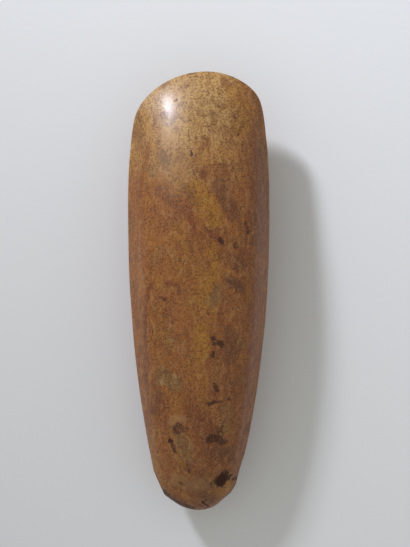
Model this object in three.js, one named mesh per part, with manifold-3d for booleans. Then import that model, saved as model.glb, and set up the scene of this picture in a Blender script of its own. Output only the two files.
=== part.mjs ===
// A polished stone axe head, lying on one of its two broad faces.
//
// It is one stone: a long oval body, widest a third of the way down from a skewed, rounded cutting edge.
// Narrow facets are ground along both sides, and the blunt butt has lost a few small flakes. Some old
// hollows were never polished out. The belly is fullest well forward, so that the head lies with its
// blade a little higher than its butt, on a small flat.
//
// Millimetres, +Z up. The cutting edge points along +Y and the butt along -Y, X runs across the width.
// The origin is on the surface that the head lies on, under the middle of its length and width.
// "fromEdge" is a distance down the length, measured from the foremost point of the cutting edge.
import * as THREE from 'three';
import { mergeVertices } from 'three/addons/utils/BufferGeometryUtils.js';
import Module from 'manifold-3d';

const { clamp, degToRad } = THREE.MathUtils;

// Overall size
const LENGTH = 200;
const WIDTH = 64.2;
const THICKNESS = 44;
const LIE_TILT = degToRad(2.4); // how much the blade rises, as the head lies
const FLAT_DEPTH = 0.5; // ground off the belly

// Plan outline: each side is bowed, and turns into a round cutting edge and a round butt
const WIDEST_FROM_EDGE = 61;
const EDGE_SKEW = 3.3; // how far to the right the foremost point lies
const BUTT_POWER = 18; // how tightly the sides turn into the butt
const OPENING_SLOPE = 3; // of the edge's outline where its circle has closed

// Side profile
const UPPER = { thickestFromEdge: 98, buttBelly: 2.6 };
const LOWER = { thickestFromEdge: 80, buttBelly: 1.8 };
const BLADE_BELLY = 2.4; // how full the blade swells behind its edge
const BLADE_BLUNTNESS = 1.2; // 1 is a plain wedge at the very edge
const EDGE_DULLING = 0.15; // how far the wedge is worn back at the very edge
const BUTT_BLUNTNESS = 1.9;

// Cross-section: an oval, with a flat ground along each side and a facet above and below it
const CROWN_POWER = 2.15; // 2 is an ellipse
const SIDE_ANGLE = degToRad(10); // how much of the oval's turn each flat takes, either way
const ARRIS_POWER = 28; // how crisp the ridges between the facets are
const FACET_START = 10; // fromEdge where the facets begin
const FACET_END = 180; // and where they have died away

// The two sides, looking down on the head with its edge away from the viewer
const LEFT = {
  edgeRadius: 37.2,
  buttRadius: 17,
  cornerPower: 26, // how tightly the side turns into the cutting edge
  frontBow: 0.18,
  rearBow: 0.49,
  rearPower: 2.2,
  facetTilt: degToRad(24),
  facetDepth: 0.031,
  facetSwell: 1.6, // how much the facet is confined to the middle of its length
};
const RIGHT = {
  edgeRadius: 32,
  buttRadius: 13,
  cornerPower: 16,
  frontBow: 0.16,
  rearBow: 0.557,
  rearPower: 2.28,
  facetTilt: degToRad(22),
  facetDepth: 0.022,
  facetSwell: 0.5,
};

// Flakes lost from the butt, and hollows in the faces. "around" is the place on the section, in
// degrees: 0 is the right side, 90 the top, 180 the left side and 270 the belly. "length" runs up the
// head and "width" across it, on a flat face: on a round one a flake's rim comes out smaller.
const SCARS = [
  { name: 'left butt flake', fromEdge: 195.5, around: 190, length: 19, width: 15, depth: 1 },
  { name: 'left flank flake', fromEdge: 188.3, around: 183, length: 22, width: 17, depth: 1.6 },
  { name: 'right butt flake', fromEdge: 194.9, around: 2, length: 10, width: 9, depth: 0.7 },
  { name: 'right flank flake', fromEdge: 181.3, around: 358, length: 20, width: 17, depth: 0.8 },
  { name: 'end flake', fromEdge: 199.3, around: 325, length: 12, width: 16, depth: 0.7 },
  { name: 'underside butt flake', fromEdge: 193, around: 278, length: 26, width: 19, depth: 1.7 },
  { name: 'underside left flake', fromEdge: 187, around: 236, length: 17, width: 12, depth: 0.9 },
  { name: 'round hollow', fromEdge: 160.5, around: 109, length: 4.8, width: 4.8, depth: 0.8 },
  { name: 'small hollow', fromEdge: 166.4, around: 120.5, length: 2.6, width: 2.6, depth: 0.6 },
  { name: 'deep hollow', fromEdge: 184.4, around: 55, length: 6.2, width: 5.2, depth: 1.4 },
  { name: 'shallow hollow', fromEdge: 165.4, around: 70.5, length: 6, width: 8, depth: 0.5 },
];

// Fineness of the blanks
const BODY_SECTORS = 72;
const BODY_RINGS = 46;
const SCAR_SECTORS = 18;
const SCAR_RINGS = 12;

// The smallest of some values, rounded off where two of them are nearly equal.
function softMin(power, ...values) {
  const sum = values.reduce((total, value) => total + value ** -power, 0);
  return sum ** (-1 / power);
}

// Half the width of the round cutting edge, at a depth behind its foremost point. Past the middle of
// the circle it opens out, so that it no longer limits the outline.
function edgeChord(depth, radius) {
  const inside = Math.min(depth, radius);
  return Math.sqrt(inside * (2 * radius - inside)) + OPENING_SLOPE * (depth - inside);
}

// Where one side would lie if it ran on to the edge: its bow, closed by the butt, which is a parabola.
function bodyReach(fromEdge, side) {
  const ahead = Math.max(0, 1 - fromEdge / WIDEST_FROM_EDGE);
  const behind = Math.max(0, (fromEdge - WIDEST_FROM_EDGE) / (LENGTH - WIDEST_FROM_EDGE));
  const bow = 1 - side.frontBow * ahead ** 2 - side.rearBow * behind ** side.rearPower;
  const butt = Math.sqrt(2 * side.buttRadius * Math.max(0, LENGTH - fromEdge));
  return softMin(BUTT_POWER, (WIDTH / 2) * bow, butt);
}

// Where that side really lies, once the cutting edge has rounded it off. The skew counts towards it.
function outlineReach(fromEdge, side, skew) {
  const edge = edgeChord(fromEdge, side.edgeRadius);
  if (edge + skew <= 0) return edge + skew;
  return softMin(side.cornerPower, bodyReach(fromEdge, side), edge + skew);
}

// How far back the cutting edge lies at x.
function edgeSag(x, side) {
  const offset = Math.min(Math.abs(x - EDGE_SKEW), side.edgeRadius);
  return side.edgeRadius - Math.sqrt(side.edgeRadius ** 2 - offset ** 2);
}

// Shares of the full thickness: the blade's, at a distance behind the cutting edge, and the butt's.
function bladeShare(behindEdge, face) {
  const ahead = clamp(1 - behindEdge / face.thickestFromEdge, 0, 1);
  return (1 - ahead ** BLADE_BELLY) ** (1 / BLADE_BLUNTNESS);
}

function buttShare(fromEdge, face) {
  const { thickestFromEdge, buttBelly } = face;
  const behind = clamp((fromEdge - thickestFromEdge) / (LENGTH - thickestFromEdge), 0, 1);
  return (1 - behind ** buttBelly) ** (1 / BUTT_BLUNTNESS);
}

// The height of the section at a place across the oval, from 0 in its middle to 1 at its tip.
function sectionHeight(across, fromEdge, side) {
  const crown = (1 - across ** CROWN_POWER) ** (1 / CROWN_POWER);
  const along = clamp((fromEdge - FACET_START) / (FACET_END - FACET_START), 0, 1);
  const reach = 1 - side.facetDepth * Math.sin(Math.PI * along) ** side.facetSwell;
  const facet = (reach - across * Math.cos(side.facetTilt)) / Math.sin(side.facetTilt);
  return softMin(ARRIS_POWER, crown, facet);
}

// A point of the surface, before anything is lost from it, with the head held level about its middle.
// "around" is an angle as for the scars.
function surfacePoint(fromEdge, around) {
  const onWidth = clamp(Math.cos(around) / Math.cos(SIDE_ANGLE), -1, 1);
  const left = outlineReach(fromEdge, LEFT, -EDGE_SKEW);
  const right = outlineReach(fromEdge, RIGHT, EDGE_SKEW);
  const x = (right - left) / 2 + (onWidth * (right + left)) / 2;

  const bodyLeft = bodyReach(fromEdge, LEFT);
  const bodyRight = bodyReach(fromEdge, RIGHT);
  const bodyHalf = (bodyRight + bodyLeft) / 2;
  const onBody = bodyHalf > 0 ? clamp((x - (bodyRight - bodyLeft) / 2) / bodyHalf, -1, 1) : 0;
  const across = Math.abs(onBody) * Math.cos(SIDE_ANGLE);

  const side = x < 0 ? LEFT : RIGHT;
  const face = Math.sin(around) < 0 ? LOWER : UPPER;
  const behindEdge = fromEdge - edgeSag(x, side) + Math.min(EDGE_DULLING, fromEdge);
  const thickness = THICKNESS * bladeShare(behindEdge, face) * buttShare(fromEdge, face);
  const upFlat = clamp(Math.sin(around) / Math.sin(SIDE_ANGLE), -1, 1);
  const z = (thickness / 2) * sectionHeight(across, fromEdge, side) * upFlat;
  return new THREE.Vector3(x, LENGTH / 2 - fromEdge, z);
}

// The directions there, from short steps along the surface: round the section, outward, and up the head.
function surfaceDirections(fromEdge, around) {
  const step = 0.02;
  const up = surfacePoint(fromEdge - step, around).sub(surfacePoint(fromEdge + step, around)).normalize();
  const turn = surfacePoint(fromEdge, around - step).sub(surfacePoint(fromEdge, around + step));
  const outward = turn.cross(up).normalize();
  return { across: outward.clone().cross(up), outward, up };
}

const wasm = await Module();
wasm.setup();

function toSolid(geometry) {
  const bare = geometry.clone();
  bare.deleteAttribute('normal');
  bare.deleteAttribute('uv');
  const merged = mergeVertices(bare, 1e-5);
  const mesh = { numProp: 3, vertProperties: merged.attributes.position.array };
  mesh.triVerts = new Uint32Array(merged.index.array);
  return new wasm.Manifold(new wasm.Mesh(mesh));
}

function toGeometry(solid) {
  const mesh = solid.getMesh();
  const geometry = new THREE.BufferGeometry();
  geometry.setAttribute('position', new THREE.BufferAttribute(mesh.vertProperties, 3));
  geometry.setIndex(new THREE.BufferAttribute(mesh.triVerts, 1));
  return geometry;
}

// The whole stone: a ball drawn out along Y, each of its points moved out to the surface.
function bodyBlank() {
  const blank = new THREE.SphereGeometry(1, BODY_SECTORS, BODY_RINGS);
  const position = blank.attributes.position;
  const point = new THREE.Vector3();
  for (let i = 0; i < position.count; i += 1) {
    point.fromBufferAttribute(position, i);
    const fromEdge = (LENGTH / 2) * (1 - clamp(point.y, -1, 1));
    point.copy(surfacePoint(fromEdge, Math.atan2(point.z, point.x)));
    position.setXYZ(i, point.x, point.y, point.z);
  }
  return blank;
}

// The shallow bowl that a scar leaves: a flattened ball, sunk by half its own half-thickness.
function scarBlank({ fromEdge, around, length, width, depth }) {
  const rimShare = Math.cos(Math.PI / 6);
  const { across, outward, up } = surfaceDirections(fromEdge, degToRad(around));
  const blank = new THREE.SphereGeometry(1, SCAR_SECTORS, SCAR_RINGS);
  blank.scale(width / 2 / rimShare, 2 * depth, length / 2 / rimShare);
  blank.applyMatrix4(new THREE.Matrix4().makeBasis(across, outward, up));
  const centre = surfacePoint(fromEdge, degToRad(around)).addScaledVector(outward, depth);
  return blank.translate(centre.x, centre.y, centre.z);
}

// What is ground off the belly of the head as it lies.
function flatBlank(lowest) {
  const blank = new THREE.BoxGeometry(WIDTH, LENGTH, THICKNESS);
  return blank.translate(0, 0, lowest + FLAT_DEPTH - THICKNESS / 2);
}

function axeHeadGeometry() {
  let solid = toSolid(bodyBlank());
  for (const scar of SCARS) solid = solid.subtract(toSolid(scarBlank(scar)));
  const lying = toGeometry(solid).rotateX(LIE_TILT);
  lying.computeBoundingBox();
  const ground = toSolid(lying).subtract(toSolid(flatBlank(lying.boundingBox.min.z)));
  const geometry = toGeometry(ground);
  geometry.computeBoundingBox();
  const { min, max } = geometry.boundingBox;
  geometry.translate(-(min.x + max.x) / 2, -(min.y + max.y) / 2, -min.z);
  geometry.computeVertexNormals();
  return geometry;
}

const stone = new THREE.MeshStandardMaterial({ color: 0x9a6f42, roughness: 0.38, metalness: 0 });

const axeHead = new THREE.Mesh(axeHeadGeometry(), stone);
axeHead.name = 'axe_head';

const axe = new THREE.Group();
axe.add(axeHead);

export default axe;
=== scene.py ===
"""A polished stone axe head: the stone's surface and finish, a floor, lights and a camera.

Blender's lengths are metres, and sizes that a maker would give in millimetres are written with MM.
"From the edge" is a distance down the head, from the foremost point of its cutting edge. Places on
the upper face are x and y in the frame: +Y points to the cutting edge and +X to the right.
"""
import math
from collections import namedtuple

import bpy
import numpy as np
from bpy.props import FloatProperty, FloatVectorProperty, IntProperty, PointerProperty
from mathutils import Matrix, Vector, noise


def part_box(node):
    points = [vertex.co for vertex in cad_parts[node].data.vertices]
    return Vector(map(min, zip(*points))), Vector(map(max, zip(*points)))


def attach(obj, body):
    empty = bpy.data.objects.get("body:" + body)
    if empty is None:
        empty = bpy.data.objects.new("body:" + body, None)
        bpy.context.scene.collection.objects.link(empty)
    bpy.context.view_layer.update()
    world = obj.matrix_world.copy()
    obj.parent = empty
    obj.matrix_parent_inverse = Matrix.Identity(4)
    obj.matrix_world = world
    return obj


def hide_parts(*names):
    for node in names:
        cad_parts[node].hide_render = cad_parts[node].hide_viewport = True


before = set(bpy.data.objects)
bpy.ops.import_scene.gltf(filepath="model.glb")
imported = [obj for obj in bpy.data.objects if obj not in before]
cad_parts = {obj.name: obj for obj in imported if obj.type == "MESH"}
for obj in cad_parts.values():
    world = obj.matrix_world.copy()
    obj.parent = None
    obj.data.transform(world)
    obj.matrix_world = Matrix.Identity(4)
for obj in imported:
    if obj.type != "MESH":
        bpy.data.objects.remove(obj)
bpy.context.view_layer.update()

bl_info = {
    "name": "Polished Stone Axe Head",
    "version": (1, 0, 0),
    "blender": (4, 5, 0),
    "location": "3D View > Sidebar > Stone Axe",
    "description": "Builds a polished stone axe head, with its floor, lights and camera",
    "category": "Add Mesh",
}

MM = 0.001
NODE = "axe_head"
LOW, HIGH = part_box(NODE)


def clamp(value, low=0.0, high=1.0):
    return min(max(value, low), high)


# ---------------------------------------------------------------------------- the form of the stone

class AxeForm(bpy.types.PropertyGroup):
    """Shape of the stone"""

    length: FloatProperty(
        name="Length", description="From the cutting edge to the butt", default=200 * MM,
        unit="LENGTH")
    width: FloatProperty(
        name="Width", description="Across the widest place", default=HIGH.x - LOW.x, unit="LENGTH")
    thickness: FloatProperty(
        name="Thickness", description="Of the whole oval, before the rest flat is ground",
        default=44 * MM, unit="LENGTH")
    lie_tilt: FloatProperty(
        name="Lie", description="How much the blade lies higher than the butt",
        default=math.radians(2.4), subtype="ANGLE")
    flat_depth: FloatProperty(
        name="Rest flat", description="How much is ground off the belly",
        default=0.5 * MM, unit="LENGTH")
    edge_skew: FloatProperty(
        name="Edge skew", description="How far to the right the foremost point of the edge lies",
        default=3.3 * MM, unit="LENGTH")
    widest: FloatProperty(
        name="Widest at", description="Distance of the widest place from the edge",
        default=61 * MM, unit="LENGTH")
    edge_dulling: FloatProperty(
        name="Edge dulling", description="How far the wedge is worn back at the very edge",
        default=0.15 * MM, unit="LENGTH")
    side_angle: FloatProperty(
        name="Side flat", description="Turn of the oval that each side flat takes, either way",
        default=math.radians(10), subtype="ANGLE")
    sectors: IntProperty(name="Sectors", description="Faces round the cage", default=72, min=16)
    edge_rings: IntProperty(
        name="Edge rings", description="Bands of the cage in the blade", default=18, min=4)
    body_rings: IntProperty(
        name="Body rings", description="Bands of the cage in the body", default=34, min=4)
    butt_rings: IntProperty(
        name="Butt rings", description="Bands of the cage in the butt", default=32, min=4)


Side = namedtuple("Side", "skewed edge_radius butt_radius corner_power front_bow rear_bow "
                          "rear_power facet_tilt facet_depth facet_swell")
LEFT = Side(-1, 37.2 * MM, 17 * MM, 26, 0.18, 0.49, 2.2, math.radians(24), 0.031, 1.6)
RIGHT = Side(1, 32 * MM, 13 * MM, 16, 0.16, 0.557, 2.28, math.radians(22), 0.022, 0.5)

Face = namedtuple("Face", "thickest butt_belly")
UPPER = Face(98 * MM, 2.6)
LOWER = Face(80 * MM, 1.8)

BUTT_POWER = 18  # how tightly the sides turn into the butt
OPENING_SLOPE = 3  # of the edge's outline where its circle has closed
BLADE_BELLY, BLADE_BLUNTNESS = 2.4, 1.2
BUTT_BLUNTNESS = 1.9
CROWN_POWER = 2.15  # 2 is an ellipse
ARRIS_POWER = 28  # how crisp the ridges between the facets are
FACET_START, FACET_END = 10 * MM, 180 * MM
EDGE_SPAN, BUTT_SPAN = 40 * MM, 50 * MM  # lengths over which the cage's rings close up


def soft_min(power, *values):
    """The smallest of some lengths, rounded off where two of them are nearly equal."""
    total = sum(max(value / MM, 1e-6) ** -power for value in values)
    return MM * total ** (-1 / power)


def edge_chord(depth, radius):
    """Half the width of the round cutting edge, at a depth behind its foremost point."""
    inside = min(depth, radius)
    return math.sqrt(inside * (2 * radius - inside)) + OPENING_SLOPE * (depth - inside)


def body_reach(form, from_edge, side):
    """Where one side would lie if it ran on to the edge: its bow, closed by the butt's parabola."""
    ahead = max(0, 1 - from_edge / form.widest)
    behind = max(0, (from_edge - form.widest) / (form.length - form.widest))
    bow = 1 - side.front_bow * ahead ** 2 - side.rear_bow * behind ** side.rear_power
    butt = math.sqrt(2 * side.butt_radius * max(0, form.length - from_edge))
    return soft_min(BUTT_POWER, form.width / 2 * bow, butt)


def outline_reach(form, from_edge, side):
    """Where that side really lies, once the cutting edge has rounded it off."""
    edge = edge_chord(from_edge, side.edge_radius) + side.skewed * form.edge_skew
    if edge <= 0:
        return edge
    return soft_min(side.corner_power, body_reach(form, from_edge, side), edge)


def edge_sag(form, x, side):
    """How far back the cutting edge lies at x."""
    offset = min(abs(x - form.edge_skew), side.edge_radius)
    return side.edge_radius - math.sqrt(side.edge_radius ** 2 - offset ** 2)


def section_height(across, from_edge, side):
    """Share of the half-thickness at a place across the oval: 0 is its middle and 1 its tip."""
    crown = (1 - across ** CROWN_POWER) ** (1 / CROWN_POWER)
    along = clamp((from_edge - FACET_START) / (FACET_END - FACET_START))
    reach = 1 - side.facet_depth * math.sin(math.pi * along) ** side.facet_swell
    facet = (reach - across * math.cos(side.facet_tilt)) / math.sin(side.facet_tilt)
    return soft_min(ARRIS_POWER, crown * MM, facet * MM) / MM


def surface_point(form, from_edge, around):
    """A point of the ground surface, with the head held level about its middle.

    "Around" is 0 on the right side, 90 degrees on top and 270 on the belly.
    """
    side_reach = math.cos(form.side_angle)
    on_width = clamp(math.cos(around) / side_reach, -1, 1)
    left = outline_reach(form, from_edge, LEFT)
    right = outline_reach(form, from_edge, RIGHT)
    x = (right - left) / 2 + on_width * (right + left) / 2

    body_left = body_reach(form, from_edge, LEFT)
    body_right = body_reach(form, from_edge, RIGHT)
    on_body = (2 * x - body_right + body_left) / max(body_right + body_left, 1e-9)
    across = abs(clamp(on_body, -1, 1)) * side_reach

    side = LEFT if x < 0 else RIGHT
    face = LOWER if math.sin(around) < 0 else UPPER
    behind_edge = from_edge - edge_sag(form, x, side) + min(form.edge_dulling, from_edge)
    ahead = clamp(1 - behind_edge / face.thickest)
    behind = clamp((from_edge - face.thickest) / (form.length - face.thickest))
    blade = (1 - ahead ** BLADE_BELLY) ** (1 / BLADE_BLUNTNESS)
    butt = (1 - behind ** face.butt_belly) ** (1 / BUTT_BLUNTNESS)
    up_flat = clamp(math.sin(around) / math.sin(form.side_angle), -1, 1)
    height = form.thickness / 2 * blade * butt * section_height(across, from_edge, side) * up_flat
    return Vector((x, form.length / 2 - from_edge, height))


def surface_axes(form, from_edge, around):
    """The directions there as a matrix: round the section, outward, and up the head."""
    step, turn = 0.02 * MM, 0.02
    front, rear = (surface_point(form, from_edge + way * step, around) for way in (-1, 1))
    start, end = (surface_point(form, from_edge, around + way * turn) for way in (-1, 1))
    up, back = front - rear, start - end
    outward = back.cross(up).normalized()
    up.normalize()
    return Matrix((outward.cross(up), outward, up)).transposed()


def ring_stations(form):
    """How far from the edge each ring of the cage lies, from its front pole to its rear one."""
    edge = [EDGE_SPAN * (1 - math.cos(math.pi / 2 * i / form.edge_rings))
            for i in range(form.edge_rings)]
    body_length = form.length - EDGE_SPAN - BUTT_SPAN
    body = [EDGE_SPAN + body_length * i / form.body_rings for i in range(form.body_rings)]
    butt = [form.length - BUTT_SPAN * (1 - math.sin(math.pi / 2 * i / form.butt_rings))
            for i in range(form.butt_rings + 1)]
    return edge + body + butt


def add_blank(form):
    """A ball whose rings are moved out along the head to the ground surface, then subdivided."""
    bpy.ops.object.select_all(action="DESELECT")
    stations = ring_stations(form)
    bands = len(stations) - 1
    bpy.ops.mesh.primitive_uv_sphere_add(
        segments=form.sectors, ring_count=bands, radius=1, rotation=(-math.pi / 2, 0, 0))
    bpy.ops.object.transform_apply(location=False, rotation=True, scale=False)
    head = bpy.context.object
    head.name = head.data.name = "polished_stone"
    for vertex in head.data.vertices:
        ring = round(math.acos(clamp(vertex.co.y, -1, 1)) / math.pi * bands)
        vertex.co = surface_point(form, stations[ring], math.atan2(vertex.co.z, vertex.co.x))
    finer = head.modifiers.new("Finer", "SUBSURF")
    finer.levels = finer.render_levels = 2
    bpy.ops.object.modifier_apply(modifier=finer.name)
    return head


def read_points(head):
    points = np.empty(len(head.data.vertices) * 3)
    head.data.vertices.foreach_get("co", points)
    return points.reshape(-1, 3)


def write_points(head, points):
    head.data.vertices.foreach_set("co", points.ravel())
    head.data.update()


def read_normals(head):
    normals = np.empty(len(head.data.vertices) * 3)
    head.data.vertex_normals.foreach_get("vector", normals)
    return normals.reshape(-1, 3)


def noise_over(points, size, seed=0):
    """Smooth noise from about -1 to 1, in waves about size long, one value for each point."""
    shift = Vector((seed, seed, seed))
    return np.array([noise.noise(Vector(point) / size + shift) for point in points])


def lay_down(head, form):
    """Turns the head to the way it lies, in the middle of the frame, with its rest flat ground."""
    points = read_points(head) @ np.array(Matrix.Rotation(form.lie_tilt, 3, "X")).T
    floor = points[:, 2].min() + form.flat_depth
    points[:, 2] = np.maximum(points[:, 2], floor) - floor + LOW.z
    for axis, middle in ((0, (LOW.x + HIGH.x) / 2), (1, (LOW.y + HIGH.y) / 2)):
        points[:, axis] += middle - (points[:, axis].min() + points[:, axis].max()) / 2
    write_points(head, points)


# ---------------------------------------------------------------------------- scars and waves

Scar = namedtuple("Scar", "name from_edge around length width depth")  # in millimetres and degrees
SCARS = (
    Scar("left butt flake", 195.5, 190, 19, 15, 1),
    Scar("left flank flake", 188.3, 183, 22, 17, 1.6),
    Scar("right butt flake", 194.9, 2, 10, 9, 0.7),
    Scar("right flank flake", 181.3, 358, 20, 17, 0.8),
    Scar("end flake", 199.3, 325, 12, 16, 0.7),
    Scar("underside butt flake", 193, 278, 26, 19, 1.7),
    Scar("underside left flake", 187, 236, 17, 12, 0.9),
    Scar("round hollow", 160.5, 109, 4.8, 4.8, 0.8),
    Scar("small hollow", 166.4, 120.5, 2.6, 2.6, 0.6),
    Scar("deep hollow", 184.4, 55, 6.2, 5.2, 1.4),
    Scar("shallow hollow", 165.4, 70.5, 6, 8, 0.5),
)
RIM_SHARE = math.cos(math.radians(30))  # of a scar's ball, where the ground surface cuts it
RIM_WANDER, RIM_SIZE = 0.12, 2.2 * MM  # how far a scar's rim wanders, and in what waves
HACKLE_SHARE, HACKLE_MOST, HACKLE_SIZE = 0.12, 0.1 * MM, 1.1 * MM  # roughness of a scar's floor
SCAR_REACH = 2.5  # times its depth, how far from its middle a scar still cuts
FRESH_DEPTH = 0.3 * MM  # where a scar is this deep, none of the polish is left
WAVE_HEIGHT, WAVE_SIZE = 0.12, 24 * MM
RIPPLE_HEIGHT, RIPPLE_SIZE = 0.04, 7 * MM


def cut_scars(head, form):
    """Pushes the stone in where each scar's ball reaches, and says how deep each point went."""
    points = read_points(head)
    wander = noise_over(points, RIM_SIZE, 3)
    hackle = noise_over(points, HACKLE_SIZE, 5)
    cut = np.zeros(len(points))
    for scar in SCARS:
        place = (form, scar.from_edge * MM, math.radians(scar.around))
        axes = np.array(surface_axes(*place))
        depth = scar.depth * MM
        centre = np.array(surface_point(*place)) + axes[:, 1] * depth
        local = (points - centre) @ axes
        wide = scar.width * MM / 2 / RIM_SHARE
        long = scar.length * MM / 2 / RIM_SHARE
        off_middle = (local[:, 0] / wide) ** 2 + (local[:, 2] / long) ** 2
        off_middle *= 1 + RIM_WANDER * wander
        bottom = -2 * depth * np.sqrt(np.clip(1 - off_middle, 0, 1))
        bottom += np.minimum(depth * HACKLE_SHARE, HACKLE_MOST) * hackle
        reached = (off_middle < 1) & (np.abs(local[:, 1]) < SCAR_REACH * depth)
        push = np.clip(np.where(reached, local[:, 1] - bottom, 0), 0, None)
        points -= push[:, None] * axes[:, 1]
        cut += push
    write_points(head, points)
    return cut


# ---------------------------------------------------------------------------- marks

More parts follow.
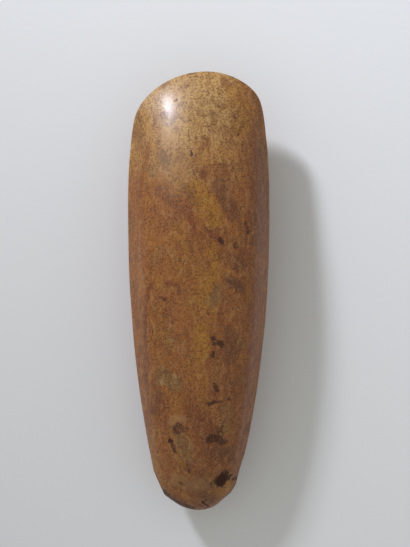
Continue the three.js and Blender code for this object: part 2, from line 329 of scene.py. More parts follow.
# What the stone shows in places, with a few painted highlights, sheens and shades among them: a
# mark's name and tint, its strength, how wide and how deep it is in millimetres, and the places
# along it, x and y in the frame, in millimetres too. A mark is on the upper face, or on the belly
# where its name begins with that word.
Mark = namedtuple("Mark", "name tint strength width depth path")
MARKS = (
    # the blade
    # Partly painted sheen: the pink rim of the blade by the highlight, where the blade faces the
    # key light.
    Mark("pink upper left", "pale", 0.25, 13, 0, ((-24, 82), (-15, 90), (-5, 93))),
    Mark("gold left shoulder", "gold", 0.5, 8, 0, ((-26, 80), (-20, 72), (-17, 60))),
    Mark("gold middle", "gold", 0.45, 10, 0, ((-2, 80), (0, 68), (1, 60))),
    Mark("olive right", "olive", 0.4, 12, 0, ((4, 83), (15, 79))),
    Mark("gold right", "gold", 0.5, 9, 0, ((16, 90), (21, 80), (19, 72))),
    # Painted sheen: the pale tail of the key light's gloss below the highlight.
    Mark("grey sheen", "pale", 0.3, 10, 0, ((-11, 74), (-8, 62))),
    Mark("nick in the edge", "dark", 0.6, 1.3, 0.3, ((-4, 98.8), (-2, 99.3))),
    Mark("speck", "dark", 0.8, 1.3, 0.05, ((-9.8, 86),)),
    Mark("speck", "dark", 0.9, 1.4, 0.05, ((9.2, 83.2),)),
    Mark("speck", "dark", 0.7, 1.1, 0.05, ((5.5, 87.5),)),
    Mark("speck", "dark", 0.6, 1, 0.05, ((-4.5, 81.5),)),
    Mark("speck", "dark", 0.6, 1, 0.05, ((-6, 88.8),)),
    Mark("specks in a row", "dark", 0.5, 1, 0.04, ((4, 79), (6.5, 80.3), (9, 78.5))),
    Mark("specks in a row", "dark", 0.45, 1.2, 0.04, ((2, 76.5), (5, 75))),
    Mark("blade crack", "dark", 0.5, 0.8, 0.1, ((-4.6, 71), (-3.6, 64.5), (-2.9, 61.4))),
    Mark("blade crack", "dark", 1, 1.1, 0.18, ((-3.4, 63), (-2.8, 60.8))),
    Mark("blade crack", "dark", 0.5, 0.7, 0.08, ((-2.8, 60.8), (-2.4, 56), (-1.9, 51.5))),
    Mark("pale scratch", "pale", 0.55, 0.7, 0.06, ((16.7, 76.5), (19.3, 71))),
    Mark("grains by the scratch", "dark", 0.55, 2.2, 0.04, ((17.5, 70.5), (20.5, 76.5))),
    Mark("short line", "dark", 0.7, 0.9, 0.08, ((19.6, 67.5), (19.6, 62.5))),
    Mark("shaded right edge", "purple", 0.6, 4, 0, ((25, 90), (28, 82))),
    Mark("red left edge", "purple", 0.5, 6, 0, ((-28.5, 79), (-27, 66))),
    Mark("red blotch", "red", 0.6, 5, 0, ((3, 67.5), (2.5, 64.5))),
    Mark("red cloud", "red", 0.4, 7, 0, ((11, 72), (13, 66))),
    Mark("grey spot", "olive", 0.7, 4.5, 0, ((-16, 62), (-14.5, 58.5))),
    Mark("grey spot", "olive", 0.7, 3.6, 0, ((-21.8, 54.8), (-20.5, 52.5))),
    Mark("grey spot", "olive", 0.5, 5, 0, ((-27, 70),)),
    Mark("cream patch", "pale", 0.4, 13, 0, ((-13, 56), (-9, 49))),
    Mark("red patch", "red", 0.6, 8, 0, ((3, 53.5), (10, 54))),
    Mark("red line", "red", 0.85, 1.1, 0, ((3.2, 55.5), (7, 57), (11.5, 56.3))),
    Mark("dark speck", "dark", 0.6, 1.5, 0.05, ((10.5, 49.5),)),
    # between the blade and the middle
    Mark("grain cluster", "dark", 0.42, 7, 0.03, ((-16, 45), (-10, 40.5))),
    Mark("grain cluster", "dark", 0.42, 4.5, 0.03, ((-4.5, 46), (-3.5, 42))),
    Mark("purple cluster", "purple", 0.75, 8, 0.02, ((9, 48), (12, 41), (15, 35))),
    Mark("purple cluster", "dark", 0.3, 5, 0.03, ((9.5, 46), (13.5, 37))),
    Mark("gold heart", "gold", 0.75, 10, 0, ((-1, 46), (4, 40), (7, 33))),
    Mark("red stain", "red", 0.75, 3.5, 0.02, ((-5.6, 37.5), (-3.5, 33), (-2, 27))),
    Mark("red stain", "red", 0.5, 5, 0, ((-9, 36), (-8, 28))),
    Mark("pale smear", "pale", 0.5, 2, 0, ((21.6, 45), (21.4, 36.5))),
    # Painted shade: the right side facet, turned away from the key light.
    Mark("purple right", "purple", 0.5, 8, 0, ((26, 76), (27, 50), (27, 22))),
    # the middle
    Mark("dark red streak", "red", 0.95, 2.2, 0.03, ((2, 28.6), (6, 25.7), (9.5, 23.8))),
    Mark("dark red streak", "dark", 0.5, 1.2, 0.05, ((2.2, 28.6), (5, 26.6))),
    Mark("black spot", "dark", 1, 2.4, 0.12, ((9.6, 23.6), (10.4, 21.8))),
    Mark("dark spot", "dark", 0.7, 1.9, 0.05, ((20.6, 31), (22, 28), (22, 26.4))),
    Mark("dark spot", "dark", 0.75, 2, 0.05, ((16.5, 21.5), (16.8, 19.8))),
    Mark("dark spot", "dark", 0.5, 1.6, 0.03, ((14, 16.6),)),
    Mark("dark spot", "dark", 0.55, 1.8, 0.03, ((-24, 32.4),)),
    Mark("soft dark spot", "dark", 0.45, 3.2, 0.02, ((-4.5, 24), (-4, 20.5))),
    Mark("red stain", "red", 0.5, 7, 0, ((-2, 26), (3, 23))),
    Mark("gold spot", "gold", 0.75, 5, 0, ((5, 21.5), (5.4, 18))),
    Mark("gold band", "gold", 0.75, 5.5, 0, ((7, 14), (6.5, 6), (4, 1))),
    Mark("gold left", "gold", 0.35, 9, 0, ((-9, 18), (-9, 7))),
    Mark("orange middle", "gold", 0.5, 8, 0, ((1, 8), (0, -6))),
    Mark("red swirl", "red", 0.75, 2.6, 0.02, ((-13.5, 4.2), (-9.4, 3.5), (-8, 0.8), (-11, -0.4))),
    Mark("dark spot", "dark", 0.65, 1.9, 0.05, ((-16.5, -2.6), (-14.8, -3.3))),
    Mark("dark patch", "purple", 0.9, 6, 0, ((14, 5), (18.5, 2.5))),
    Mark("dark patch", "dark", 0.5, 3, 0.03, ((14, 4.8), (17.5, 3.4))),
    Mark("dark patch", "purple", 0.6, 6, 0, ((15, 14), (18, 12))),
    Mark("olive patch", "olive", 0.7, 6, 0, ((8.5, 1), (6.5, -4))),
    Mark("dot", "dark", 0.8, 1.5, 0.05, ((4.3, -9.4),)),
    Mark("dot", "dark", 0.6, 1.4, 0.05, ((-0.4, -9.6),)),
    Mark("dot", "dark", 0.5, 1.2, 0.05, ((-3, -6),)),
    Mark("red patch", "red", 0.8, 2.4, 0.03, ((9.3, -9.5), (9.6, -13.5))),
    Mark("red patch", "red", 0.5, 4, 0, ((12, -6), (13, -2))),
    Mark("iron streak", "red", 0.8, 1.7, 0.03, ((-21, 3.5), (-23, -1), (-23.8, -8), (-24, -20))),
    Mark("iron streak", "dark", 0.35, 1.5, 0.03,
         ((-23.8, -10), (-24, -22), (-24, -34), (-23.6, -40))),
    Mark("iron streak", "red", 0.55, 2.4, 0, ((-24, -20), (-24, -38), (-22.4, -48), (-21.8, -64))),
    Mark("red left flank", "red", 0.5, 6, 0, ((-27.5, -6), (-27, -14))),
    Mark("red left flank", "red", 0.6, 4, 0, ((-25.4, -27), (-25.6, -33))),
    Mark("pale hook", "pale", 0.6, 1.4, 0.03, ((-21.4, -3.8), (-21, -5.4), (-19.6, -7.2))),
    Mark("gold left", "gold", 0.4, 7, 0, ((-18, -8), (-17, -20))),
    # behind the middle
    Mark("pit", "dark", 1, 2, 0.25, ((6, -20.3), (7, -20.9))),
    Mark("pit", "dark", 0.9, 2, 0.2, ((6.8, -23.2), (8.4, -22.6))),
    Mark("pit", "dark", 1, 2.6, 0.25, ((9.6, -22.6), (10.2, -23.4))),
    Mark("pit", "dark", 0.95, 1.9, 0.22, ((6.5, -27.2), (6.3, -28.4))),
    Mark("red by the pits", "red", 0.8, 1.8, 0.05, ((12.3, -21.4), (14.6, -19.4))),
    Mark("purple patch", "purple", 0.9, 7.5, 0, ((14.6, -20), (14, -29))),
    Mark("gold band", "gold", 0.8, 7, 0, ((1.8, -16), (1.4, -28))),
    Mark("gold band", "gold", 0.45, 6, 0, ((1.5, -32), (2, -52))),
    Mark("pale fleck", "pale", 0.75, 1.5, 0.03, ((-13, -20.9), (-11.6, -21.3))),
    Mark("olive patch", "olive", 0.4, 7, 0, ((-13, -14), (-12, -24))),
    Mark("red spots", "red", 0.6, 2.2, 0.02, ((-5, -24), (-6, -28))),
    Mark("olive patch", "olive", 0.85, 7.5, 0, ((-16.5, -37), (-11, -40.5))),
    Mark("lichen spot", "pale", 0.85, 1.7, 0, ((-16.8, -39.4), (-16.1, -40.9))),
    Mark("lichen spot", "pale", 0.85, 1.5, 0, ((-10.8, -36.6), (-10.2, -38))),
    Mark("lichen spot", "pale", 0.5, 1.5, 0, ((-12, -40.5),)),
    Mark("red right", "red", 0.4, 12, 0, ((13, -32), (15, -44))),
    Mark("dark ring", "dark", 0.85, 2.3, 0.1, ((7.4, -41), (8.2, -43.5))),
    Mark("dark streak", "dark", 0.95, 2.4, 0.12, ((5.2, -49.6), (7, -49.1))),
    Mark("dark streak", "dark", 0.65, 1.5, 0.06, ((7, -49), (10.4, -48.4))),
    Mark("dark streak", "dark", 0.8, 1.6, 0.08, ((13, -47.6), (13.8, -47.4))),
    Mark("purple smudge", "purple", 0.9, 5, 0, ((-18.2, -46), (-19.4, -53))),
    Mark("red smudge", "red", 0.5, 7, 0, ((-16, -50), (-16.6, -58))),
    Mark("rust patch", "red", 0.8, 10, 0, ((-1, -54), (2.5, -61))),
    Mark("gold by the rust", "gold", 0.35, 7, 0, ((-9, -44), (-8, -52))),
    Mark("red line", "red", 0.9, 1.3, 0.04, ((22.7, -49.3), (23, -51.6))),
    Mark("olive right", "olive", 0.5, 7, 0, ((12, -52), (12, -60))),
    Mark("dark line", "dark", 0.65, 1.1, 0.06, ((10.9, -58), (10.2, -61), (11, -64.5))),
    Mark("dark line", "dark", 0.5, 1.4, 0.05, ((8, -60), (9.5, -64.5))),
    # the butt
    # Painted highlight: the lit upper-left rim of the round hollow.
    Mark("halo of the hollow", "pale", 0.6, 4, 0, ((-12, -58), (-10.4, -56), (-7, -56.4))),
    Mark("round hollow", "purple", 1, 5.2, 0, ((-8.8, -60.6),)),
    Mark("round hollow", "dark", 0.75, 1.4, 0,
         ((-11, -60.4), (-10.6, -62.2), (-8.6, -63), (-7, -62))),
    Mark("round hollow", "dark", 0.5, 2.6, 0, ((-9.2, -59.2),)),
    Mark("below the hollow", "gold", 0.5, 2, 0, ((-9.3, -63.8), (-7.6, -63.8))),
    Mark("dot", "dark", 0.8, 1.7, 0.1, ((-4.8, -60.8),)),
    Mark("dot", "red", 0.6, 2, 0.05, ((-5, -58.6),)),
    Mark("small hollow", "dark", 1, 2.3, 0.1, ((-12.6, -66.5),)),
    Mark("tail of the small hollow", "dark", 0.8, 1.6, 0.1, ((-12.2, -67.2), (-10.7, -71.4))),
    Mark("dot", "red", 0.9, 2, 0.04, ((-15.6, -71.5),)),
    Mark("dot", "red", 0.7, 1.6, 0.03, ((-18.6, -72),)),
    Mark("grey between the hollows", "olive", 0.7, 7, 0, ((-8, -66), (-5, -72))),
    Mark("shallow hollow", "dark", 0.75, 3.4, 0.1, ((4.6, -65.4), (9.6, -66), (10.8, -67.4))),
    Mark("shallow hollow", "purple", 0.9, 5.5, 0, ((4.8, -65), (10.4, -67))),
    Mark("dot", "dark", 0.8, 1.5, 0.06, ((12.6, -66.6),)),
    Mark("dot", "red", 0.7, 1.7, 0.04, ((2.6, -67.8),)),
    Mark("dot", "red", 0.6, 1.7, 0.04, ((-2.4, -64),)),
    Mark("smudge", "purple", 0.9, 4, 0, ((4.5, -71.6), (8, -72.2), (11.4, -72))),
    Mark("smudge", "purple", 0.9, 3.6, 0, ((14, -71), (14.4, -75))),
    Mark("red butt", "red", 0.55, 12, 0, ((3, -62), (2, -78))),
    Mark("pale scratch", "pale", 0.7, 0.9, 0.05, ((-8.5, -70.6), (-7.4, -74.2))),
    Mark("pale scratch", "pale", 0.65, 1, 0.04, ((-5, -64.6), (-3.6, -66.6), (-4.4, -70))),
    Mark("pale scratch", "pale", 0.7, 0.9, 0.05, ((-6.6, -74.6), (-3.2, -74.9))),
    Mark("pale scratch", "pale", 0.55, 0.9, 0.05, ((-3.6, -76.6), (-1.4, -77.4), (3, -77.4))),
    Mark("crack", "dark", 0.75, 0.8, 0.12, ((-4.9, -77.6), (-4.3, -81.4))),
    Mark("pale by the crack", "pale", 0.5, 1.2, 0, ((-5.4, -81), (-4.2, -83))),
    Mark("deep hollow", "dark", 1.3, 5.4, 0, ((9.4, -85.6), (11.3, -83.6))),
    Mark("deep hollow", "dark", 0.9, 1.8, 0.15, ((11.6, -83), (12.5, -81))),
    Mark("gold by the deep hollow", "gold", 0.8, 3.2, 0, ((14.4, -83), (13.4, -88), (10.6, -91.5))),
    Mark("dark spot", "dark", 0.75, 1.7, 0.06, ((15.4, -85), (17.3, -84.6))),
    Mark("red streak", "red", 0.9, 1.5, 0.03, ((19, -68.6), (19.2, -73.4))),
    Mark("gold rim", "gold", 0.55, 3, 0, ((-21.5, -70), (-19, -80), (-16, -87))),
    Mark("pale patch", "pale", 0.5, 6, 0, ((-11, -84.6), (-4, -87), (1, -86.6))),
    Mark("speck", "dark", 0.65, 1.7, 0.05, ((-8.4, -86), (-7.2, -86.8))),
    Mark("end cavity", "purple", 0.8, 5, 0, ((2.4, -91.5), (5.6, -94.5))),
    Mark("end cavity", "dark", 0.9, 1.1, 0.12, ((1.6, -95), (2.2, -96.2), (4.2, -97.4))),
    Mark("end cavity", "dark", 0.8, 1, 0.12, ((3.2, -94), (2.2, -96))),
    # Partly painted shade: the broken facets on the butt's lower left rim turn down, away from the
    # light, and are darkened as well as being rough stone.
    Mark("broken rim", "dark", 0.75, 2.4, 0.08,
         ((-16, -90.5), (-13, -94), (-8, -97.2), (-3, -98.6))),
    Mark("broken rim", "red", 0.8, 2.6, 0, ((-11, -94.4), (-5, -97.2))),
    Mark("red end", "red", 0.6, 4, 0, ((-1, -97), (3, -98))),
    # plainer marks that go round the sides and the belly
    Mark("belly stain", "red", 0.6, 18, 0, ((-8, 52), (-2, 30))),
    Mark("belly stain", "red", 0.5, 15, 0, ((9, -12), (5, -44))),
    Mark("belly cluster", "dark", 0.4, 10, 0.03, ((-9, 6), (-3, -8))),
    Mark("belly gold", "gold", 0.5, 16, 0, ((9, 76), (12, 40))),
    Mark("belly olive", "olive", 0.5, 12, 0, ((-12, -40), (-9, -58))),
    Mark("belly pit", "dark", 0.9, 2.4, 0.25, ((11, 18), (12, 16.4))),
    Mark("belly pit", "dark", 0.9, 1.9, 0.2, ((-6, -66),)),
    Mark("belly spot", "dark", 0.6, 2.4, 0.03, ((3, 61), (4.4, 58))),
    Mark("belly spot", "dark", 0.6, 1.8, 0.03, ((-15, 27),)),
)
# How widely the rim of a mark of each tint fades, as a share of half its width
SOFTNESS = {"dark": 0.7, "red": 0.9, "gold": 1.1, "olive": 1.0, "pale": 0.9, "purple": 1.0}
FINE_RAGGEDNESS, FINE_RAGGED_SIZE = 0.5, 1.3 * MM
WIDE_RAGGEDNESS, WIDE_RAGGED_SIZE = 0.4, 3.4 * MM
RAGGED_LEAST, RAGGED_MOST = 0.45, 2
FACE_TURN = 4  # how quickly the upper face's marks end as the stone turns down


def path_distance(x, y, path):
    """How far each point lies from the line through the places of a path."""
    nearest = np.full(len(x), np.inf)
    for start, end in zip(path, path[1:] or path):
        along_x, along_y = end[0] - start[0], end[1] - start[1]
        length = max(along_x ** 2 + along_y ** 2, 1e-6)
        share = np.clip(((x - start[0]) * along_x + (y - start[1]) * along_y) / length, 0, 1)
        gap = np.hypot(x - start[0] - share * along_x, y - start[1] - share * along_y)
        nearest = np.minimum(nearest, gap)
    return nearest


def put_marks(head):
    """Gives each point its share of each tint, and says how deep the marks go there."""
    points, normals = read_points(head), read_normals(head)
    x, y = points[:, 0] / MM, points[:, 1] / MM
    ragged = (1 + FINE_RAGGEDNESS * noise_over(points, FINE_RAGGED_SIZE, 11)
              + WIDE_RAGGEDNESS * noise_over(points, WIDE_RAGGED_SIZE, 13))
    ragged = np.clip(ragged, RAGGED_LEAST, RAGGED_MOST)
    upward = np.clip(0.5 + normals[:, 2] * FACE_TURN, 0, 1)
    shares = {tint: np.zeros(len(points)) for tint in SOFTNESS}
    depth = np.zeros(len(points))
    for mark in MARKS:
        soft = SOFTNESS[mark.tint]
        inside = 1 - path_distance(x, y, mark.path) * ragged / (mark.width / 2)
        share = np.clip(inside / soft + 0.5, 0, 1)
        share *= share * (3 - 2 * share)
        share *= 1 - upward if mark.name.startswith("belly") else upward
        shares[mark.tint] = np.maximum(shares[mark.tint], share * mark.strength)
        depth = np.maximum(depth, share * mark.depth * MM)
    for tint, share in shares.items():
        head.data.attributes.new(tint, "FLOAT", "POINT").data.foreach_set("value", share)
    return depth


def wear_surface(head, cut, depth):
    """Waves of the hand grinding, and the small pits and cracks of the marks."""
    points, normals = read_points(head), read_normals(head)
    waves = (WAVE_HEIGHT * noise_over(points, WAVE_SIZE, 1)
             + RIPPLE_HEIGHT * noise_over(points, RIPPLE_SIZE, 2))
    points += normals * (waves * MM - depth)[:, None]
    points[:, 2] = np.maximum(points[:, 2], LOW.z)
    write_points(head, points)
    fresh = np.clip(cut / FRESH_DEPTH, 0, 1)
    head.data.attributes.new("scar", "FLOAT", "POINT").data.foreach_set("value", fresh)


# ---------------------------------------------------------------------------- the stone's colours

class Wire:
    """A value in a material. The usual operators put down the nodes that work with it."""

    def __init__(self, paint, socket):
        self.paint = paint
        self.socket = socket

    def __add__(self, other):
        return self.paint.maths("ADD", self, other)

    def __sub__(self, other):
        return self.paint.maths("SUBTRACT", self, other)

    def __rsub__(self, other):
        return self.paint.maths("SUBTRACT", other, self)

    def __mul__(self, other):
        return self.paint.maths("MULTIPLY", self, other)

    __radd__ = __add__
    __rmul__ = __mul__


class Paint:
    """A material's nodes, put down in the order that the stone's layers lie"""

    def __init__(self, name):
        self.material = bpy.data.materials.new(name)
        self.material.use_nodes = True
        self.tree = self.material.node_tree
        self.surface = self.tree.nodes["Principled BSDF"]

    def put(self, node, values):
        for name, value in values.items():
            if isinstance(value, Wire):
                self.tree.links.new(value.socket, node.inputs[name])
            else:
                node.inputs[name].default_value = value

    def node(self, kind, settings, values, output=0):
        node = self.tree.nodes.new("ShaderNode" + kind)
        for name, value in settings.items():
            setattr(node, name, value)
        self.put(node, values)
        return Wire(self, node.outputs[output])

    def maths(self, operation, *values):
        return self.node("Math", {"operation": operation}, dict(enumerate(values)))

    def vector(self, operation, *values):
        return self.node("VectorMath", {"operation": operation}, dict(enumerate(values)))

    def share(self, value, start, whole):
        """0 where the value has not reached start, 1 where it has reached whole."""
        return self.node("MapRange", {"interpolation_type": "SMOOTHSTEP"},
                         {"Value": value, "From Min": start, "From Max": whole})

    def noise(self, place, size, detail=2, output=0):
        """Noise from 0 to 1 in waves as long as size, which is in the same unit as the place."""
        values = {"Vector": place, "Scale": 1 / size, "Detail": detail, "Roughness": 0.55}
        return self.node("TexNoise", {}, values, output)

    def scaled(self, place, scale):
        return self.node("VectorMath", {"operation": "SCALE"}, {0: place, "Scale": scale})

    def scattered(self, place, spots, channel):
        """Round spots, one to a cell, in the share of the cells that one channel picks."""
        values = {"Vector": place, "Scale": 1 / spots.spacing}
        gap = self.node("TexVoronoi", {}, values, "Distance")
        draw = self.node("TexVoronoi", {}, values, "Color")
        draw = self.node("SeparateColor", {}, {0: draw}, channel)
        return self.share(gap, spots.rim, spots.heart) * self.share(draw, spots.few, spots.many)

    def mix(self, share, under, over):
        """The colour under, with a share of the colour over."""
        return self.node("Mix", {"data_type": "RGBA"}, {0: share, 6: under, 7: over}, 2)

    def lay(self, color, value, layer, over):
        """Lays a colour over another where the value lies in the layer's range."""
        return self.mix(self.share(value, layer.start, layer.whole) * layer.strength, color, over)

    def attribute(self, name):
        return self.node("Attribute", {"attribute_name": name}, {}, "Fac")


class AxeLook(bpy.types.PropertyGroup):
    """Colours of the stone's ground; those of the blade, the right side and the butt also paint
    light and shade
    """

    # Partly painted light: laid over the blade, this honey stands partly for the light and sheen
    # that the blade catches from the key light; it is also the honey of the light blots and grains.
    honey_and_lit_blade_color: FloatVectorProperty(
        name="Blade", description="Honey of the grains, and painted light on the blade", subtype="COLOR",
        default=(0.5, 0.29, 0.1), min=0, max=1)
    body_color: FloatVectorProperty(
        name="Body", description="Ochre colour of the body", subtype="COLOR",
        default=(0.29, 0.094, 0.016), min=0, max=1)
    # Painted shade: the darker brown laid over the right side stands for the shade of the side that
    # turns away from the key light.
    right_shade_color: FloatVectorProperty(
        name="Right side", description="Painted shade on the right side", subtype="COLOR",
        default=(0.265, 0.074, 0.012), min=0, max=1)
    # Partly painted shade: the darker colour over the rear is partly the stone's tone and partly
    # the shade of the butt, which slopes away from the key light.
    butt_tone_and_shade_color: FloatVectorProperty(
        name="Butt", description="Colour of the rear, partly painted shade", subtype="COLOR",
        default=(0.235, 0.076, 0.018), min=0, max=1)
    grain_color: FloatVectorProperty(
        name="Grains", description="Colour of the dark grains", subtype="COLOR",
        default=(0.1, 0.024, 0.004), min=0, max=1)


TINTS = {
    "gold": (0.34, 0.14, 0.006, 1),
    "olive": (0.19, 0.1, 0.03, 1),
    "purple": (0.135, 0.04, 0.014, 1),
    "red": (0.17, 0.034, 0.005, 1),
    "pale": (0.42, 0.27, 0.12, 1),
    "dark": (0.04, 0.01, 0.003, 1),
}

# Sizes of the patterns in millimetres
DRIFT_SIZE, DRIFT_REACH = 6, 5
CLOUD_SIZE, MOTTLE_SIZE, GREY_SIZE, CROWD_SIZE = 22, 6, 9, 11
PATCH_SIZE, BLOT_SIZE, STREAK_SIZE, HACKLES_SIZE = 2.4, 1.9, 1.4, 1.2
GRAIN_SIZE, FINE_GRAIN_SIZE = 0.8, 0.55
DRAWN = (1, 0.35, 1)  # the mottling is drawn out along the head, and the streaks more so
STREAKED = (1, 0.08, 1)

# How far the clouds carry the borders of the lighter blade and the darker butt, partly painted
# light and shade, and of the right side's painted shade, in millimetres
BLADE_CLOUD, RIGHT_SHADE_CLOUD, BUTT_CLOUD = 60, 16, 40

# Where a layer starts to show and where it is whole, on its pattern's own scale, and its strength
Layer = namedtuple("Layer", "start whole strength")
BLADE = Layer(66, 112, 1)
RIGHT_SHADE = Layer(16, 32, 0.75)
REAR = Layer(85, 115, 0.8)
RED_MOTTLE = Layer(0.52, 0.66, 0.55)
GOLD_MOTTLE = Layer(0.46, 0.34, 0.4)
GREY_MOTTLE = Layer(0.55, 0.68, 0.35)
STREAKS = Layer(0.48, 0.66, 0.12)
SHADED_SIDE_STREAKS = Layer(12, 26, 0.4)
PATCHES = Layer(0.05, 0.95, 0.82)
GRAINS = Layer(0.48, 0.62, 0.7)
DARK_BLOTS = Layer(0.5, 0.66, 0.38)
LIGHT_BLOTS = Layer(0.47, 0.34, 0.2)
LIGHT_GRAINS = Layer(0.5, 0.62, 0.22)
PALE_MARKS = Layer(0.1, 1.3, 0.6)
DARK_MARKS = Layer(0.1, 1.1, 0.92)

# Spots scattered one to a cell: how far apart in millimetres, where a spot's rim and its heart lie
# in its cell, the range of the draw that picks the cells, and the spots' strength
Spots = namedtuple("Spots", "spacing rim heart few many strength")
SPECKS = Spots(2.6, 0.24, 0.16, 0.6, 0.75, 0.6)
FLECKS = Spots(3.3, 0.2, 0.1, 0.7, 0.8, 0.35)

# How much the noise breaks up the rims of the marks, and the crowding of the grains
PATCH_BREAKUP, PALE_BREAKUP, DARK_BREAKUP, CROWDING = 0.9, 0.8, 0.9, 0.22


def stone_paint(look):
    """The ground, lighter on the blade and darker on the right side and the butt, partly painted
    light and shade; then mottling, streaks, patches and grains, then pale and dark marks, some of
    them painted sheen, highlight and shade.

    Places are in millimetres.
    """
    honey_and_lit_blade_color, body_color, right_shade_color, butt_tone_and_shade_color, grain_color = (
        (*color, 1) for color in (look.honey_and_lit_blade_color, look.body_color, look.right_shade_color,
                                  look.butt_tone_and_shade_color, look.grain_color))
    paint = Paint("polished_stone")
    place = paint.scaled(paint.node("TexCoord", {}, {}, "Object"), 1 / MM)
    across = paint.node("SeparateXYZ", {}, {0: place}, "X")
    along = paint.node("SeparateXYZ", {}, {0: place}, "Y")
    drift = paint.noise(place, DRIFT_SIZE, output="Color")
    drift = paint.scaled(paint.vector("SUBTRACT", drift, (0.5, 0.5, 0.5)), DRIFT_REACH)
    swirled = paint.vector("ADD", place, drift)
    drawn = paint.vector("MULTIPLY", swirled, DRAWN)

    cloud = paint.noise(place, CLOUD_SIZE, 3)
    # Partly painted light: lighter and yellower towards the cutting edge, partly the stone's tone
    # and partly the light and sheen of the blade that faces the key light.
    color = paint.lay(body_color, along + cloud * BLADE_CLOUD, BLADE, honey_and_lit_blade_color)
    # Painted shade: darker brown over the right side, which turns away from the key light.
    color = paint.lay(color, across + cloud * RIGHT_SHADE_CLOUD, RIGHT_SHADE, right_shade_color)
    # Partly painted shade: darker towards the butt, partly the stone's tone and partly shade where
    # the butt slopes away from the key light.
    color = paint.lay(color, cloud * BUTT_CLOUD - along, REAR, butt_tone_and_shade_color)

    mottle = paint.noise(drawn, MOTTLE_SIZE, 4)
    color = paint.lay(color, mottle, RED_MOTTLE, TINTS["red"])
    color = paint.lay(color, mottle, GOLD_MOTTLE, TINTS["gold"])
    color = paint.lay(color, paint.noise(swirled, GREY_SIZE, 4), GREY_MOTTLE, TINTS["olive"])

    streak = paint.noise(paint.vector("MULTIPLY", place, STREAKED), STREAK_SIZE, 3)
    streaky = paint.share(streak, STREAKS.start, STREAKS.whole)
    # Partly painted shade: the stone's purple streaks are drawn thicker on the right side to darken
    # it.
    on_shaded_side = paint.share(across, SHADED_SIDE_STREAKS.start, SHADED_SIDE_STREAKS.whole)
    color = paint.mix(streaky * on_shaded_side * SHADED_SIDE_STREAKS.strength, color, TINTS["purple"])
    color = paint.mix(streaky * STREAKS.strength, color, TINTS["purple"])

    for tint in ("gold", "olive", "purple", "red"):
        breakup = (paint.noise(drawn, PATCH_SIZE, 5) - 0.5) * PATCH_BREAKUP
        color = paint.lay(color, paint.attribute(tint) + breakup, PATCHES, TINTS[tint])

    grains = paint.noise(place, GRAIN_SIZE, 3)
    crowded = (paint.noise(swirled, CROWD_SIZE, 3) - 0.5) * CROWDING
    color = paint.lay(color, grains + crowded, GRAINS, grain_color)
    blots = paint.noise(drawn, BLOT_SIZE, 4)
    color = paint.lay(color, blots, DARK_BLOTS, grain_color)
    color = paint.lay(color, blots, LIGHT_BLOTS, honey_and_lit_blade_color)
    specks = paint.scattered(swirled, SPECKS, 0)
    color = paint.mix(specks * SPECKS.strength, color, grain_color)
    flecks = paint.scattered(place, FLECKS, 1)
    color = paint.mix(flecks * FLECKS.strength, color, TINTS["pale"])
    color = paint.lay(color, paint.noise(place, FINE_GRAIN_SIZE, 2), LIGHT_GRAINS, honey_and_lit_blade_color)

    # The pale marks: scratches, flecks and lichen, and also painted sheen and a painted highlight.
    pale = paint.attribute("pale") + (grains - 0.5) * PALE_BREAKUP
    color = paint.lay(color, pale, PALE_MARKS, TINTS["pale"])
    # The dark marks: pits, specks and cracks, and also painted shade on the butt's broken rim.
    dark = paint.attribute("dark") + (grains - 0.5) * DARK_BREAKUP
    hole = paint.share(dark, DARK_MARKS.start, DARK_MARKS.whole)
    color = paint.mix(hole * DARK_MARKS.strength, color, TINTS["dark"])

    broken = paint.attribute("scar")
    hackles = broken * paint.noise(place, HACKLES_SIZE, 3)
    height = grains + streak * 0.3 - hole * 1.5 + hackles * 6
    bump = paint.node("Bump", {}, {"Strength": 0.5, "Distance": 0.02 * MM, "Height": height})
    paint.put(paint.surface, {
        "Base Color": color,
        "Roughness": 0.38 + hole * 0.25 + broken * 0.12 + grains * 0.08,
        "Specular IOR Level": 0.4,
        "Coat Weight": 0.16 - hole * 0.14 - broken * 0.1,
        "Coat Roughness": 0.17,
        "Normal": bump,
    })
    return paint.material


# ---------------------------------------------------------------------------- stage

class AxeStage(bpy.types.PropertyGroup):
    """Floor, lights and camera"""

    floor_color: FloatVectorProperty(
        name="Floor colour", description="Colour of the floor", subtype="COLOR",
        default=(0.80, 0.80, 0.80), min=0, max=1)
    view_level: FloatProperty(
        name="View level", description="Height at which the view's length is measured",
        default=21 * MM, unit="LENGTH")
    view_length: FloatProperty(
        name="View length", description="Length seen at the view level, up the picture",
        default=249.2 * MM, unit="LENGTH")
    camera_distance: FloatProperty(
        name="Camera distance", description="From the view level up to the camera",
        default=0.75, unit="LENGTH")
    view_centre: FloatVectorProperty(
        name="View centre", description="What the camera looks at, across and along the head",
        default=(2.85 * MM, 8.35 * MM), size=2, subtype="XYZ", unit="LENGTH")
    key_power: FloatProperty(name="Key power", description="Watts", default=3.0, min=0)
    key_color: FloatVectorProperty(
        name="Key colour", description="Colour of the key light", subtype="COLOR",
        default=(0.85, 0.885, 1.0), min=0, max=1)
    key_turn: FloatProperty(
        name="Key turn", description="Turn of the key light to the left of the cutting edge",
        default=math.radians(35.4), subtype="ANGLE")
    key_rise: FloatProperty(
        name="Key rise", description="How high the key light stands above the floor",
        default=math.radians(30.3), subtype="ANGLE")
    room_strength: FloatProperty(
        name="Room light", description="Light from all round", default=0.484, min=0)
    room_color: FloatVectorProperty(
        name="Room colour", description="Colour of the light from all round", subtype="COLOR",
        default=(0.985, 1.0, 0.963), min=0, max=1)


KEY_DISTANCE = 2.0
KEY_SIZE = (0.25, 0.3)
KEY_SPREAD = math.radians(42)
KEY_AIM = Vector((0, 0.5, 0))  # past the blade, so that the light fades towards the butt
FLOOR_SIZE = 4
SENSOR = 36 * MM


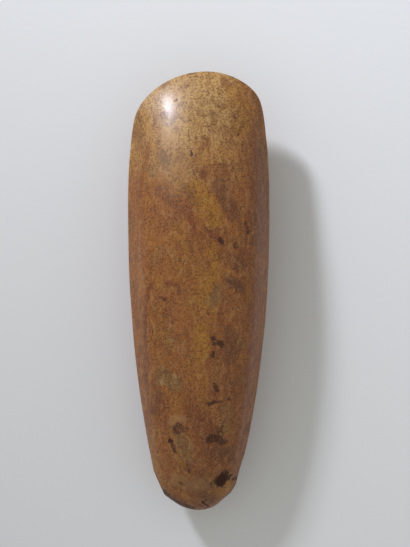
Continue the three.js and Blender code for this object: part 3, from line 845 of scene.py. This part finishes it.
def add_key_light(stage):
    """A soft box beyond the left of the blade."""
    turn, rise = stage.key_turn, stage.key_rise
    direction = Vector((-math.sin(turn) * math.cos(rise), math.cos(turn) * math.cos(rise),
                        math.sin(rise)))
    place = direction * KEY_DISTANCE + Vector((0, 0, stage.view_level))
    bpy.ops.object.light_add(type="AREA", location=place)
    key = bpy.context.object
    key.name = key.data.name = "key"
    key.rotation_euler = (place - KEY_AIM).to_track_quat("Z", "Y").to_euler()
    key.data.shape = "RECTANGLE"
    key.data.size, key.data.size_y = KEY_SIZE
    key.data.spread = KEY_SPREAD
    key.data.color = stage.key_color
    key.data.energy = stage.key_power


def add_room(stage):
    """Even light from all round."""
    room = bpy.data.worlds.new("room")
    room.use_nodes = True
    light = room.node_tree.nodes["Background"]
    light.inputs["Color"].default_value = (*stage.room_color, 1)
    light.inputs["Strength"].default_value = stage.room_strength
    bpy.context.scene.world = room


def add_floor(stage):
    bpy.ops.mesh.primitive_plane_add(size=FLOOR_SIZE, location=(0, 0, LOW.z))
    floor = bpy.context.object
    floor.name = floor.data.name = "floor"
    bpy.ops.object.transform_apply(location=True, rotation=False, scale=False)
    paint = bpy.data.materials.new("pale_floor")
    paint.use_nodes = True
    surface = paint.node_tree.nodes["Principled BSDF"]
    surface.inputs["Base Color"].default_value = (*stage.floor_color, 1)
    surface.inputs["Roughness"].default_value = 0.7
    surface.inputs["Specular IOR Level"].default_value = 0.2
    floor.data.materials.append(paint)


def add_camera(stage):
    bpy.ops.object.camera_add(
        location=(*stage.view_centre, stage.view_level + stage.camera_distance),
        rotation=(0, 0, 0))
    camera = bpy.context.object
    camera.name = camera.data.name = "camera"
    camera.data.sensor_width = SENSOR * 1000
    camera.data.lens = camera.data.sensor_width * stage.camera_distance / stage.view_length
    bpy.context.scene.camera = camera


class STONE_AXE_OT_head(bpy.types.Operator):
    """Build the stone, from its blank to its finish"""

    bl_idname = "stone_axe.head"
    bl_label = "Stone head"

    def execute(self, context):
        form = context.scene.axe_form
        head = add_blank(form)
        cut = cut_scars(head, form)
        lay_down(head, form)
        wear_surface(head, cut, put_marks(head))
        head.data.materials.append(stone_paint(context.scene.axe_look))
        bpy.ops.object.shade_smooth()
        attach(head, "root")
        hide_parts(NODE)
        return {"FINISHED"}


class STONE_AXE_OT_stage(bpy.types.Operator):
    """Add the floor, the lights and the camera"""

    bl_idname = "stone_axe.stage"
    bl_label = "Floor, lights and camera"

    def execute(self, context):
        stage = context.scene.axe_stage
        bpy.ops.object.select_all(action="DESELECT")
        add_floor(stage)
        add_key_light(stage)
        add_room(stage)
        add_camera(stage)
        context.scene.view_settings.view_transform = "Standard"
        return {"FINISHED"}


class STONE_AXE_PT_panel(bpy.types.Panel):
    """Lists the pieces in the order they are built"""

    bl_idname = "STONE_AXE_PT_panel"
    bl_label = "Stone Axe"
    bl_space_type = "VIEW_3D"
    bl_region_type = "UI"
    bl_category = "Stone Axe"

    def draw(self, context):
        for operator in (STONE_AXE_OT_head, STONE_AXE_OT_stage):
            self.layout.operator(operator.bl_idname)


CLASSES = (AxeForm, AxeLook, AxeStage,
           STONE_AXE_OT_head, STONE_AXE_OT_stage, STONE_AXE_PT_panel)


def register():
    for one in CLASSES:
        bpy.utils.register_class(one)
    bpy.types.Scene.axe_form = PointerProperty(type=AxeForm)
    bpy.types.Scene.axe_look = PointerProperty(type=AxeLook)
    bpy.types.Scene.axe_stage = PointerProperty(type=AxeStage)


def unregister():
    del bpy.types.Scene.axe_stage
    del bpy.types.Scene.axe_look
    del bpy.types.Scene.axe_form
    for one in reversed(CLASSES):
        bpy.utils.unregister_class(one)


def main():
    register()
    bpy.ops.stone_axe.head()
    bpy.ops.stone_axe.stage()


if __name__ == "__main__":
    main()
